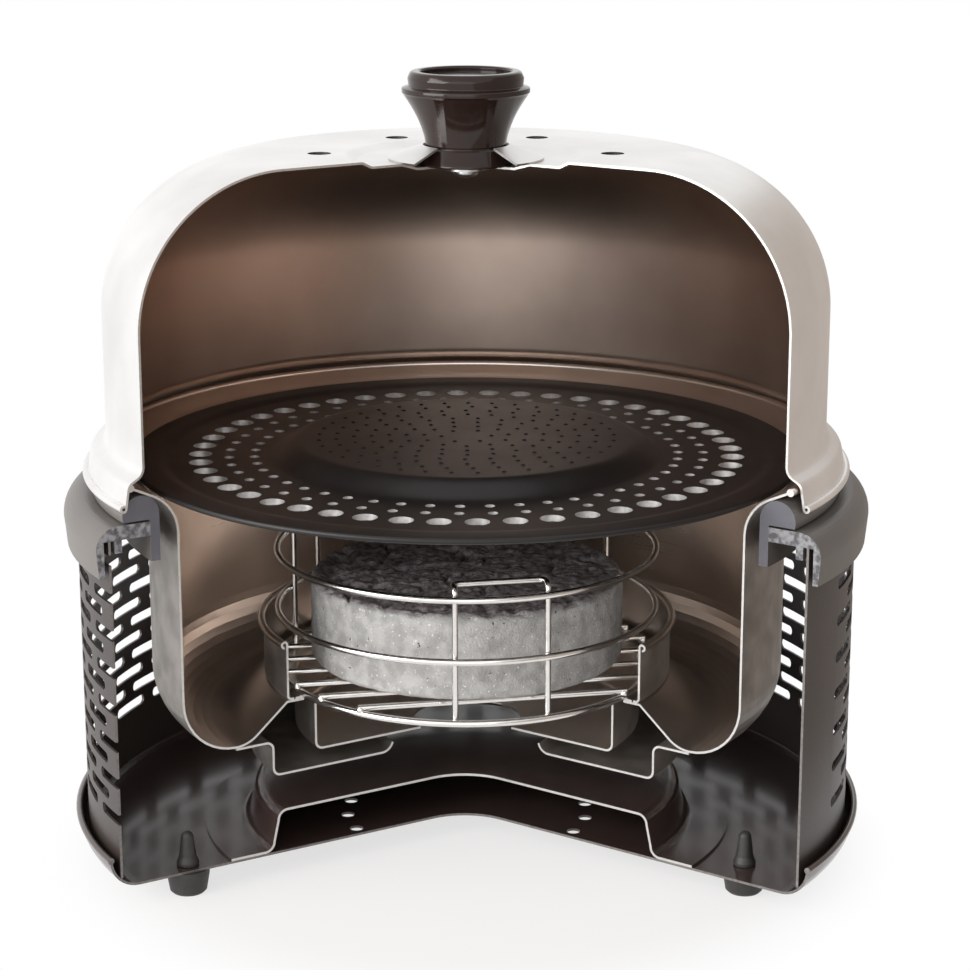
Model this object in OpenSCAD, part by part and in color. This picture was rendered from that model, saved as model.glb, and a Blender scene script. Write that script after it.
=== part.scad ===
// Portable tabletop charcoal grill, shown with a wedge of its shells cut away.
// Origin on the axis at the level of the table, +Z up, the cut faces -Y. Millimetres.

/* [Cutaway] */
// Angle of the wedge taken out of the shells, 0 leaves the grill whole
section_angle = 114; // [0:1:150]
// Turn of the stand's cut against the lid's, degrees
base_turn = -2; // [-6:0.5:6]
// Turn of the bowl's cut against the lid's, degrees
bowl_turn = -1.5; // [-6:0.5:6]
// Radius of the rounded tip of the cut in the tray and the pedestal
tip_round = 25; // [8:1:40]

/* [Sheet] */
// Thickness of the steel of the lid and the bowl
steel_t = 0.9; // [0.6:0.1:1.4]
// Thickness of the black sheet of the stand
black_t = 1.0; // [0.6:0.1:1.6]
// Gap between pieces that rest on each other but lift apart
rest_gap = 0.3; // [0.2:0.05:0.6]

/* [Feet] */
// Height of a foot below the tray
foot_h = 10; // [6:0.5:16]
// Radius of a foot at its top
foot_r = 8.5; // [7:0.25:11]
// Distance of a foot's middle inside the edge of the tray's flat floor
foot_inset = 23.2; // [15:0.2:30]
// Angle of the two front feet forward of sideways
foot_forward = 28; // [20:0.5:29]
// Radius of the foot's neck through the tray
foot_neck_r = 3.4; // [2.5:0.1:4.5]
// Height of the foot's barbed tail above the tray
foot_tail_h = 14; // [9:0.5:18]

/* [Stand] */
// Outer radius of the tray's rim
tray_r = 160; // [157:0.5:168]
// Radius of the round corner between the tray's floor and its rim
tray_corner = 11.5; // [10:0.5:14]
// Radius of the tray's rolled edge
tray_bead_r = 1.3; // [1:0.1:1.8]
// Circle that the air holes in the tray lie on
air_ring_r = 49.5; // [40:0.5:60]
// Radius of an air hole
air_hole_r = 2.7; // [1.5:0.1:4]
// Number of air holes round the whole tray
air_holes = 20; // [8:1:24]
// Height of the pedestal's plateau above the tray's floor
pedestal_h = 17.5; // [10:0.5:22]
// Distance from a foot's middle to the edge of the pedestal's flange
flange_gap = 16; // [10:0.5:24]
// Width of the pedestal's flange and its sloping side
pedestal_flange_w = 21; // [14:0.5:30]
// Height of the wall and the collar above the tray's floor
stand_h = 143.5; // [125:0.5:165]
// Distance of the wall inside the tray's outer edge
wall_inset = 5; // [4:0.25:6.5]
// Length of a slot round the wall
slot_l = 25; // [15:0.5:27]
// Height of a slot
slot_h = 4.2; // [3:0.1:5]
// Height from one row of slots to the next
slot_row = 7.4; // [6.5:0.1:9]
// Angle from one slot to the next in a row
slot_step = 12; // [11:0.25:15]
// Height of the lowest row above the tray's floor
slot_rise = 27; // [18:0.5:40]
// Least height of plain wall above the top row
slot_margin = 3; // [2:0.5:20]
// Where the plain strip of the wall ends, degrees from +X
plain_end = -24; // [-30:1:-10]

/* [Collar] */
// Gap between the wall and the collar's outer skin
wall_fit = 1.8; // [0.5:0.1:3]
// Height of the collar
collar_h = 19.5; // [17:0.5:30]
// Thickness of the collar's shelf
shelf_t = 5.5; // [4:0.5:7]
// Thickness of the collar's outer skin
collar_t = 3.2; // [2.5:0.1:3.8]
// Radius of the round bulb that carries the bowl
bulb_r = 7.5; // [6:0.25:8]
// Distance of the bulb's middle inside the collar's outside
seat_inset = 18.5; // [17.5:0.25:19.5]
// Thickness of the seat ring's inner leg
seat_leg_t = 3.8; // [2.5:0.1:4.5]

/* [Bowl] */
// Gap between the bowl's wall and the seat ring
bowl_gap = 6.55; // [5:0.05:9]
// Radius of the flare under the rim
flare_r = 17; // [14:0.5:19]
// Depth of the middle of the flare's arc below the collar's upper face
flare_drop = 5.5; // [4.5:0.25:7.5]
// Slope of the rim, degrees
rim_slope = 25; // [15:1:32]
// How far the rolled rim stands out past the bulb's middle
rim_over = 4.3; // [3.5:0.1:5]
// Radius of the rolled rim
rim_bead_r = 1.5; // [1.2:0.1:1.8]
// Height of the air space between the pedestal and the support ring
air_h = 14.65; // [8:0.05:20]
// Radius of the moat's outer corner
moat_out_r = 22; // [16:0.5:26]
// Radius of the moat's inner corner
moat_in_r = 14; // [10:0.5:18]
// Slope of the cone in the middle of the bowl, degrees
cone_slope = 40; // [32:1:48]
// Width of the moat, from the bowl's wall to the guard band
moat_w = 45; // [41:0.5:47]
// Height of the guard band
guard_h = 23; // [16:0.5:24]
// Radius of the hollow in the guard band's rolled edge
guard_hollow_r = 0.7; // [0.4:0.1:1.2]
// Distance of the well cup inside the guard band
cup_inset = 12; // [10:0.5:18]
// Depth of the well cup below the ledge
cup_h = 22.5; // [14:0.5:24]
// Radius of the air hole in the cup's floor
cup_hole_r = 22; // [12:0.5:30]
// Distance of the support ring's wall outside the guard band
support_over = 7; // [3:0.5:11]
// Depth of the support ring below the moat
support_h = 14; // [11:0.5:16]
// Radius of the support ring's opening
support_hole_r = 35; // [30:0.5:50]

/* [Fire basket] */
// Turn of the basket in the bowl, degrees
basket_turn = 11; // [-30:1:30]
// Distance of the hoops inside the guard band
hoop_inset = 5.5; // [5:0.25:7]
// Radius of the hoop wire
hoop_wire_r = 1.35; // [1:0.05:1.6]
// Radius of the wire of the bars and loops
bar_wire_r = 1.2; // [0.9:0.05:1.5]
// Height of the top hoop above the bottom hoop
basket_h = 49; // [40:0.5:56]
// Depth that crossing wires sink into each other where they are welded
weld_sink = 0.3; // [0.2:0.05:0.4]
// Distance between the bars of the grate
grate_step = 16; // [13:0.5:18]
// Least distance from the outermost bar to the lift loop in front of it
grate_margin = 4; // [3:0.5:10]
// Width of the front lift loop
front_loop_w = 36; // [24:1:44]
// Width of the rear lift loops
rear_loop_w = 21; // [16:1:26]
// Angle of the rear lift loops from the back
rear_loop_angle = 55; // [45:1:60]
// How far a lift loop's crossbar stands inwards of its uprights
loop_reach = 6; // [5:0.25:6.5]
// Height of a lift loop above the top hoop
loop_rise = 4; // [3.5:0.25:8]

/* [Fuel] */
// Gap between the fuel disc and the basket's uprights
fuel_gap = 9.55; // [9:0.05:20]
// Height of the fuel disc
fuel_h = 36; // [24:0.5:42]
// Radius of the fuel disc's upper edge
fuel_edge_r = 6; // [3:0.5:9]

/* [Grill plate] */
// How far the plate's edge stands out past the bowl's wall
plate_over = 6; // [4.5:0.25:7]
// Thickness of the plate
plate_t = 2.4; // [1.8:0.1:3]
// Rise of the plate's middle over its rim
plate_rise = 5; // [0:0.5:10]
// Distance of the large drain holes inside the plate's edge
drain_inset = 27; // [21:0.5:30]
// Radius of a large drain hole
drain_r = 4.7; // [3:0.1:5.5]
// Number of large drain holes
drain_holes = 48; // [24:1:50]
// Distance from the large holes in to the first circle of small ones
small_inset = 11.5; // [9:0.5:13]
// Distance between the two circles of small holes
small_step = 10; // [6:0.5:12]
// Distance from the inner circle of holes to the raised middle
plate_mid_inset = 10.5; // [7.5:0.5:24]
// Radius of a small drain hole
small_drain_r = 2; // [1:0.1:2.5]

/* [Lid] */
// Distance of the lid's wall inside the bowl's rim
lid_inset = 3.8; // [2.8:0.1:6]
// Height of the lid's crown above its lip
lid_h = 121; // [105:0.5:135]
// Width of the rounded shoulder
shoulder_w = 61; // [45:0.5:70]
// Height of the rounded shoulder
shoulder_h = 57.5; // [40:0.5:60]
// Depth of the lip below the step that rests on the bowl's rim
lip_depth = 9.5; // [6:0.5:11]
// How far the sheet flares outwards down to the rolled lip
lip_flare = 1.5; // [0.8:0.1:2.2]
// Radius of the hollow in the rolled lip
lip_hollow_r = 0.6; // [0.4:0.1:1]
// Height of the step in the lid's wall
step_h = 3.2; // [2:0.1:5]
// Distance of the vent holes outside the recess round the knob
vent_gap = 11; // [7:0.5:20]
// Radius of a vent hole
vent_r = 4.6; // [2:0.1:6]
// Number of vent holes round the whole lid
vents = 6; // [4:1:12]
// Radius of the recess round the knob
recess_r = 46; // [40:0.5:48]
// Depth of the recess
recess_h = 2; // [1:0.1:3]
// Radius of the knob's seat in the recess
seat_r = 22; // [20:0.25:24]
// Depth of the seat below the recess
seat_h = 2; // [1:0.1:3]

/* [Knob] */
// Radius of the knob's base
knob_base_r = 17.6; // [16.5:0.1:18.5]
// Radius of the knob's neck
knob_neck_r = 15.8; // [13:0.1:16]
// Radius of the knob's flange
knob_flange_r = 24.9; // [23.8:0.1:30]
// Radius of the knob's upper lip
knob_lip_r = 22.6; // [21.5:0.1:23.2]
// Radius of the disc in the knob's top
knob_cap_r = 17.7; // [14:0.1:18.5]
// Height of the knob
knob_h = 36; // [33:0.5:42]
// Outer radius of the steel cone under the knob
ferrule_r = 30.5; // [27:0.25:34]
// Height of the steel cone
ferrule_h = 4.8; // [4:0.1:5.5]
// Radius of the knob's screw
screw_r = 2.5; // [2:0.1:3]
// Length of the screw above the lid
screw_l = 20; // [14:0.5:24]
// Radius of the washer under the lid
washer_r = 9; // [7:0.25:12]

/* [Hidden] */

$fn = 128;
// Segments on a rounded stretch of an outline
arc_n = 10;
// Gap between the end of a rolled edge and the sheet that it turns back to
roll_gap = 0.2;
// Length of cutting tools past the face that they cut
past = 1;

// Points on an arc, angles in degrees from the outline's +X
function arc(mid, r, from, to, n = arc_n) =
    [for (i = [0:n]) let (a = from + (to - from) * i / n) mid + r * [cos(a), sin(a)]];
function reversed(list) = [for (i = [len(list) - 1:-1:0]) list[i]];
// Points of a rolled edge round a hollow: it leaves a point along a heading and turns to the side,
// 1 for left and -1 for right, until its end comes back to within the gap of the sheet
function roll(at, heading, hollow_r, side, n = 2 * arc_n) =
    let (r = hollow_r + steel_t / 2,
        turn = 360 - acos(1 - (steel_t + roll_gap) / r))
    [for (i = [1:n]) let (a = heading + side * turn * i / n)
        at + side * r * [sin(a) - sin(heading), cos(heading) - cos(a)]];
// A smooth step from 0 to 1
function ease(s) = s * s * (3 - 2 * s);
// All points of a list but the first
function tail(list) = [for (i = [1:len(list) - 1]) list[i]];
function unit(v) = v / norm(v);
// Left-hand normal of the step from point i to the next
function step_normal(path, i) =
    let (d = unit(path[i + 1] - path[i])) [-d[1], d[0]];
// Normal at a point of a path, lengthened at corners so that the sheet keeps its thickness
function corner_normal(path, i) =
    let (last = len(path) - 1,
        before = step_normal(path, max(i - 1, 0)),
        after = step_normal(path, min(i, last - 1)),
        middle = unit(before + after))
    middle / (middle * after);
function beside(path, d) = [for (i = [0:len(path) - 1]) path[i] + d * corner_normal(path, i)];
// Outline of a sheet of thickness t whose middle follows a path
function sheet(path, t) = concat(beside(path, t / 2), reversed(beside(path, -t / 2)));

// Revolves each child round the axis, all but the wedge that is cut away
module cut_ring(turn = 0) {
    for (i = [0:$children - 1])
        rotate([0, 0, section_angle / 2 - 90 + turn])
            rotate_extrude(angle = 360 - section_angle) children(i);
}

// Wedge with a rounded tip, for pressings that reach the axis
module rounded_wedge(reach, low, high, turn) {
    half = section_angle / 2;
    tip_y = -tip_round / sin(half);
    tip = arc([0, tip_y], tip_round, half, 180 - half);
    side_x = reach * sin(half);
    side_y = -reach * cos(half);
    corners = [[-side_x, side_y], [-side_x, -reach], [side_x, -reach], [side_x, side_y]];
    if (section_angle > 0)
        rotate([0, 0, turn]) translate([0, 0, low])
            linear_extrude(high - low) polygon(concat(tip, corners));
}

// Stand: heights that the pieces share
floor_low = foot_h;
floor_top = floor_low + black_t;
tray_rim_z = floor_low + black_t / 2 + tray_corner;
tray_mid_r = tray_r - tray_bead_r;
tray_flat_r = tray_mid_r - tray_corner;
foot_ring_r = tray_flat_r - foot_inset;
pedestal_top = floor_top + pedestal_h;
pedestal_flange_r = foot_ring_r - flange_gap;
pedestal_r = pedestal_flange_r - pedestal_flange_w;
wall_r = tray_r - wall_inset;
wall_low = tray_rim_z - sqrt(pow(tray_corner - black_t / 2, 2) - pow(wall_r - tray_flat_r, 2));
shelf_top = floor_top + stand_h;
shelf_low = shelf_top - shelf_t;
slot_low = floor_top + slot_rise;
slot_rows = floor((shelf_low - slot_low - slot_h / 2 - slot_margin) / slot_row) + 1;
collar_r = wall_r + wall_fit + collar_t;
collar_low = shelf_top - collar_h;
bulb_mid_r = collar_r - seat_inset;

// Clearance round a foot's neck in the tray
foot_fit = 0.2;

// Bowl: the flare under the rim and the ledge that carries the basket
bowl_r = bulb_mid_r - bulb_r - bowl_gap - steel_t / 2;
flare_z = shelf_top - flare_drop;
flare_mid = [bowl_r + flare_r, flare_z];
flare_in = flare_r - steel_t / 2;
flare_out = flare_r + steel_t / 2;
rim_r = bulb_mid_r + rim_over;
rim_start = flare_mid + flare_r * [-sin(rim_slope), cos(rim_slope)];
rim_end_z = rim_start[1] + (rim_r - rim_start[0]) * tan(rim_slope);
support_low = pedestal_top + air_h + steel_t / 2;
moat_z = support_low + support_h + steel_t;
moat_mid_r = bowl_r - moat_out_r;
cone_start = [moat_mid_r - moat_in_r * sin(cone_slope), moat_z + moat_in_r * (1 - cos(cone_slope))];
guard_r = bowl_r - moat_w;
ledge_r = guard_r + steel_t / 2;
ledge_z = cone_start[1] + (cone_start[0] - ledge_r) * tan(cone_slope);
ledge_top = ledge_z + steel_t / 2;
// Top of the flange that the basket stands on
hearth_z = ledge_top + steel_t;
cup_r = guard_r - cup_inset;
support_r = guard_r + support_over;

module base_tray() {
    first_hole = -11;
    floor_z = floor_low + black_t / 2;
    path = concat([[0, floor_z]], arc([tray_flat_r, tray_rim_z], tray_corner, -90, 0));
    color([0.06, 0.055, 0.055]) difference() {
        union() {
            rotate_extrude() polygon(sheet(path, black_t));
            rotate_extrude() translate([tray_mid_r, tray_rim_z]) circle(tray_bead_r, $fn = 32);
        }
        rounded_wedge(2 * tray_r, floor_low - past, tray_rim_z + 2 * tray_bead_r, base_turn);
        for (i = [0:air_holes - 1])
            rotate([0, 0, first_hole + i * 360 / air_holes]) translate([air_ring_r, 0, floor_low - past])
                cylinder(h = black_t + 2 * past, r = air_hole_r);
        at_feet() translate([0, 0, floor_low - past])
            cylinder(h = black_t + 2 * past, r = foot_neck_r + foot_fit);
    }
}

module pedestal() {
    corner = 4;
    lean = 2;
    low = floor_top + black_t / 2;
    top = pedestal_top - black_t / 2;
    path = concat([[0, top]], arc([pedestal_r - corner, top - corner], corner, 90, 0),
        arc([pedestal_r + lean + corner, low + corner], corner, 180, 270), [[pedestal_flange_r, low]]);
    color([0.05, 0.045, 0.045]) difference() {
        rotate_extrude() polygon(sheet(path, black_t));
        rounded_wedge(2 * tray_r, floor_low, pedestal_top + past, base_turn);
    }
}

// One slot, lying round the wall at an angle and a height
module slot(angle, z) {
    half = (slot_l - slot_h) / 2;
    depth = 6 * black_t;
    rotate([0, 0, angle]) translate([wall_r - black_t / 2, 0, z]) rotate([0, 90, 0]) {
        cube([slot_h, 2 * half, depth], center = true);
        for (side = [-1, 1]) translate([0, side * half, 0])
            cylinder(h = depth, r = slot_h / 2, center = true, $fn = 32);
    }
}

module perforated_wall() {
    first_slot = 209;
    half_slot = slot_l / wall_r * 90 / PI;
    color([0.07, 0.07, 0.07]) difference() {
        cut_ring(base_turn) translate([wall_r - black_t, wall_low]) square([black_t, shelf_low - wall_low]);
        for (row = [0:slot_rows - 1])
            for (angle = [first_slot - (row % 2) * slot_step / 2:-slot_step:plain_end + half_slot])
                slot(angle, slot_low + row * slot_row);
    }
}

module collar_ring() {
    round_r = 9;
    draft = 1;
    leg_fit = 1.5;
    skin_in = collar_r - collar_t;
    leg_in = bulb_mid_r - bulb_r + seat_leg_t;
    mid_leg_out = wall_r - black_t - leg_fit;
    mid_leg_t = 3;
    mid_leg_h = 5;
    outline = concat([[leg_in, shelf_low], [leg_in, shelf_top]],
        arc([collar_r - round_r, shelf_top - round_r], round_r, 90, 0),
        [[collar_r - draft, collar_low], [skin_in, collar_low], [skin_in, shelf_low],
        [mid_leg_out, shelf_low], [mid_leg_out, shelf_low - mid_leg_h],
        [mid_leg_out - mid_leg_t, shelf_low - mid_leg_h], [mid_leg_out - mid_leg_t, shelf_low]]);
    color([0.3, 0.29, 0.29]) cut_ring(base_turn) polygon(outline);
}

// Height of the bulb's middle, so that it just clears the rim's underside
rim_line = [flare_mid[0] - flare_in * sin(rim_slope), flare_mid[1] + flare_in * cos(rim_slope)];
bulb_z = rim_line[1] + (bulb_mid_r - rim_line[0]) * tan(rim_slope)
    - (bulb_r + rest_gap) / cos(rim_slope);

module bowl_seat_ring() {
    slot_gap = 0.8;
    leg_drop = 10;
    leg_low = shelf_low - leg_drop;
    leg_in = bulb_mid_r - bulb_r;
    low = shelf_top + slot_gap;
    low_angle = asin((low - bulb_z) / bulb_r);
    outline = concat([[leg_in, leg_low]], [[leg_in, bulb_z]],
        arc([bulb_mid_r, bulb_z], bulb_r, 180, low_angle, 2 * arc_n),
        [[leg_in + seat_leg_t, low], [leg_in + seat_leg_t, leg_low]]);
    color([0.26, 0.265, 0.29]) cut_ring(base_turn) polygon(outline);
}

module at_feet() {
    for (angle = [180 + foot_forward, -foot_forward, 90])
        rotate([0, 0, angle]) translate([foot_ring_r, 0, 0]) children();
}

// Push-in rubber foot: a pad, a neck through the tray and a barbed tail
module foot(angle) {
    pad_taper = 1.2;
    pad_edge = 1;
    pad_skirt = 2;
    tail_taper = 0.9;
    barb_over = 1;
    barb_edge_h = 1.1;
    barb_h = 3.52;
    pad_low_r = foot_r - pad_taper;
    tail_r = foot_neck_r - tail_taper;
    barb_r = foot_neck_r + barb_over;
    barb_low = floor_top + rest_gap;
    tail_top = floor_top + foot_tail_h;
    outline = concat([[0, 0], [pad_low_r - pad_edge, 0], [pad_low_r, pad_edge], [foot_r, foot_h - pad_skirt],
        [foot_r, floor_low], [foot_neck_r, floor_low], [foot_neck_r, barb_low], [barb_r, barb_low],
        [barb_r, barb_low + barb_edge_h], [foot_neck_r, barb_low + barb_h]],
        arc([0, tail_top - tail_r], tail_r, 0, 90));
    color([0.09, 0.085, 0.085]) rotate([0, 0, angle]) translate([foot_ring_r, 0, 0])
        rotate_extrude() polygon(outline);
}
module foot_left() foot(180 + foot_forward);
module foot_right() foot(-foot_forward);
module foot_back() foot(90);

module inner_bowl() {
    cup_gap = 5;
    ledge_in = cup_r + cup_gap;
    path = concat([[ledge_in, ledge_z], [ledge_r, ledge_z]],
        reversed(arc([moat_mid_r, moat_z + moat_in_r], moat_in_r, -90, -90 - cone_slope)),
        tail(arc([moat_mid_r, moat_z + moat_out_r], moat_out_r, -90, 0)),
        arc(flare_mid, flare_r, 180, 90 + rim_slope), [[rim_r, rim_end_z]]);
    color([0.62, 0.6, 0.58]) cut_ring(bowl_turn) {
        polygon(sheet(path, steel_t));
        translate([rim_r, rim_end_z]) circle(rim_bead_r, $fn = 32);
    }
}

module well_guard() {
    corner = 1.5;
    foot_w = 2.6;
    low = ledge_top + steel_t / 2;
    top = [guard_r, ledge_top + guard_h];
    path = concat([[guard_r - foot_w, low]], arc([guard_r - corner, low + corner], corner, -90, 0, 4),
        [top], roll(top, 90, guard_hollow_r, -1));
    color([0.6, 0.58, 0.55]) cut_ring(bowl_turn) polygon(sheet(path, steel_t));
}

module well_cup() {
    corner = 3;
    guard_clear = 3.2;
    flange_r = guard_r - guard_clear;
    low = ledge_top - cup_h;
    top = ledge_top + steel_t / 2;
    path = concat([[cup_hole_r, low]], arc([cup_r - corner, low + corner], corner, -90, 0, 6),
        reversed(arc([cup_r + corner, top - corner], corner, 90, 180, 6)), [[flange_r, top]]);
    color([0.5, 0.47, 0.44]) cut_ring(bowl_turn) polygon(sheet(path, steel_t));
}

// Annular dish under the bowl, its flange against the lowest line of the moat
module support_ring() {
    corner = 3;
    flange_z = moat_z - steel_t;
    curl_r = 5;
    curl_turn = 75;
    path = concat([[moat_mid_r, flange_z]],
        arc([support_r + corner, flange_z - corner], corner, 90, 180, 6),
        arc([support_r - corner, support_low + corner], corner, 0, -90, 6),
        arc([support_hole_r + curl_r, support_low + curl_r], curl_r, -90, -90 - curl_turn, 6));
    color([0.55, 0.53, 0.5]) cut_ring(bowl_turn) polygon(sheet(path, steel_t));
}

// Basket: heights of the hoops, the bars on the bottom one and the loops inside all three
hoop_low_z = hearth_z + rest_gap + hoop_wire_r;
hoop_top_z = hoop_low_z + basket_h;
hoop_mid_z = hoop_low_z + basket_h / 2;
bar_z = hoop_low_z + hoop_wire_r + bar_wire_r - weld_sink;
hoop_r = guard_r - hoop_inset;
upright_r = hoop_r - hoop_wire_r - bar_wire_r + weld_sink;
// An even number of bars, as many as fit behind the front loop
front_out = sqrt(pow(upright_r, 2) - pow(front_loop_w, 2) / 4);
grate_bars = 2 * floor((front_out - grate_margin) / grate_step + 0.5);

module hoop(z) {
    color([0.8, 0.8, 0.79]) translate([0, 0, z])
        rotate_extrude() translate([hoop_r, 0]) circle(hoop_wire_r, $fn = 24);
}
module basket_top_hoop() hoop(hoop_top_z);
module basket_middle_hoop() hoop(hoop_mid_z);
module basket_bottom_hoop() hoop(hoop_low_z);

module basket_grate() {
    color([0.8, 0.8, 0.79]) rotate([0, 0, basket_turn])
        for (i = [0:grate_bars - 1]) {
            y = (i - (grate_bars - 1) / 2) * grate_step;
            l = 2 * sqrt(pow(hoop_r + hoop_wire_r / 2, 2) - y * y);
            translate([-l / 2, y, bar_z]) rotate([0, 90, 0]) cylinder(h = l, r = bar_wire_r, $fn = 24);
        }
}

// Quarter bend of wire in the XZ plane, from +Z round to +X
module bend(r) {
    translate([r, 0, 0]) rotate([90, 0, 0]) rotate([0, 0, 90])
        rotate_extrude(angle = 90) translate([r, 0]) circle(bar_wire_r, $fn = 24);
}

// Wire loop: two uprights inside the hoops, bent inwards over the top to a crossbar
module lift_loop(angle, w) {
    bend_r = 2.5;
    low = hoop_low_z - hoop_wire_r;
    top = hoop_top_z + loop_rise;
    out = sqrt(pow(upright_r, 2) - w * w / 4);
    color([0.8, 0.8, 0.79]) rotate([0, 0, angle + basket_turn]) {
        for (side = [-1, 1]) translate([out, side * w / 2, 0]) {
            translate([0, 0, low]) cylinder(h = top - bend_r - low, r = bar_wire_r, $fn = 24);
            translate([0, 0, top - bend_r]) mirror([1, 0, 0]) bend(bend_r);
            translate([bend_r - loop_reach, 0, top]) rotate([0, 90, 0])
                cylinder(h = loop_reach - 2 * bend_r, r = bar_wire_r, $fn = 24);
            translate([bend_r - loop_reach, 0, top])
                rotate([side * 90, 0, 0]) rotate([0, -90, 0]) bend(bend_r);
        }
        translate([out - loop_reach, 0, top]) rotate([90, 0, 0])
            cylinder(h = w - 2 * bend_r, r = bar_wire_r, center = true, $fn = 24);
    }
}
module lift_loop_front() lift_loop(-90, front_loop_w);
module lift_loop_left() lift_loop(90 + rear_loop_angle, rear_loop_w);
module lift_loop_right() lift_loop(90 - rear_loop_angle, rear_loop_w);

fuel_low = bar_z + bar_wire_r + rest_gap;
fuel_r = upright_r - bar_wire_r - fuel_gap;

module fuel_disc() {
    low_edge = 3;
    top = fuel_low + fuel_h;
    outline = concat([[0, fuel_low]], arc([fuel_r - low_edge, fuel_low + low_edge], low_edge, -90, 0, 6),
        arc([fuel_r - fuel_edge_r, top - fuel_edge_r], fuel_edge_r, 0, 90, 6), [[0, top]]);
    color([0.36, 0.36, 0.36]) rotate_extrude() polygon(outline);
}

// Plate: its lower edge stands on the bowl's flare
plate_r = bowl_r + plate_over;
drain_ring_r = plate_r - drain_inset;
small_rings_r = [drain_ring_r - small_inset, drain_ring_r - small_inset - small_step];
plate_mid_r = small_rings_r[1] - plate_mid_inset;
plate_low = flare_z + sqrt(pow(flare_out, 2) - pow(flare_mid[0] - plate_r, 2)) + rest_gap;

module plate_holes(ring_r, hole_r, turn) {
    for (i = [0:drain_holes - 1])
        rotate([0, 0, turn + i * 360 / drain_holes]) translate([ring_r, 0, plate_low - 3 * past])
            cylinder(h = plate_t + 6 * past, r = hole_r, $fn = 32);
}

module grill_plate() {
    first = 2.5;
    edge = plate_t / 2;
    dip = 1.2;
    mid_z = plate_low + plate_t / 2;
    bank_in = plate_mid_r - 8;
    bank_w = 13;
    rim_in = plate_r - 15;
    rim_w = 6;
    path = concat([[0, mid_z + plate_rise]],
        [for (i = [0:arc_n]) let (s = i / arc_n)
            [bank_in + bank_w * s, mid_z + plate_rise - (plate_rise + dip) * ease(s)]],
        [for (i = [0:arc_n]) let (s = i / arc_n) [rim_in + rim_w * s, mid_z - dip + dip * ease(s)]],
        [[plate_r - edge, mid_z]]);
    color([0.07, 0.065, 0.065]) difference() {
        union() {
            rotate_extrude() polygon(sheet(path, plate_t));
            rotate_extrude() translate([plate_r - edge, mid_z]) circle(edge, $fn = 32);
        }
        plate_holes(drain_ring_r, drain_r, first);
        for (ring = small_rings_r) plate_holes(ring, small_drain_r, first + 180 / drain_holes);
    }
}

// Lid: its step rests on the bowl's rolled rim
lid_r = rim_r - lid_inset;
skirt_r = rim_r + rim_bead_r + rest_gap + steel_t / 2;
step_z = rim_end_z + rim_bead_r + rest_gap + steel_t;
lip_z = step_z - lip_depth;
crown_z = lip_z + lid_h;
recess_z = crown_z - recess_h;
seat_z = recess_z - seat_h;
seat_top = seat_z + steel_t / 2;
vent_ring_r = recess_r + vent_gap;

module dome_lid() {
    screw_fit = 0.3;
    bend = 0.6;
    bead_rise = 0.3;
    recess_slope_w = 3;
    seat_lap = 1.5;
    vent_cut = 4;
    shoulder_n = 3 * arc_n;
    hole_r = screw_r + screw_fit;
    shoulder_r = lid_r - shoulder_w;
    shoulder = [for (i = [0:shoulder_n]) let (a = 90 * i / shoulder_n)
        [shoulder_r + shoulder_w * cos(a), crown_z - shoulder_h + shoulder_h * sin(a)]];
    skirt_top = [skirt_r, step_z - 1.5 * bend];
    lip = [skirt_r + lip_flare, lip_z];
    heading = atan2(lip[1] - skirt_top[1], lip[0] - skirt_top[0]);
    path = concat(reversed(roll(lip, heading, lip_hollow_r, 1)),
        [lip, skirt_top, [skirt_r - bend, step_z],
        [lid_r + bend, step_z + step_h - bend], [lid_r, step_z + step_h + bend]], shoulder,
        [[recess_r, crown_z + bead_rise], [recess_r - recess_slope_w, recess_z],
        [ferrule_r - seat_lap, recess_z], [seat_r, seat_z], [hole_r, seat_z]]);
    color([0.78, 0.77, 0.75]) difference() {
        cut_ring() polygon(sheet(path, steel_t));
        for (i = [0:vents - 1])
            rotate([0, 0, i * 360 / vents]) translate([vent_ring_r, 0, crown_z - vent_cut])
                cylinder(h = 2 * vent_cut, r = vent_r, $fn = 48);
    }
}

ferrule_low = recess_z + steel_t;
ferrule_fit = 0.6;
ferrule_in = knob_neck_r + ferrule_fit;

module knob_ferrule() {
    path = [[ferrule_r, ferrule_low], [ferrule_in, ferrule_low + ferrule_h]];
    color([0.82, 0.81, 0.79]) cut_ring() polygon(sheet(path, steel_t));
}

// The knob's neck starts a little below the cone's upper edge, and its top has a recess for the disc
neck_drop = 0.4;
cap_depth = 3;
neck_z = ferrule_low + ferrule_h - neck_drop;
knob_top = seat_top + knob_h;
cap_z = knob_top - cap_depth;

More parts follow.
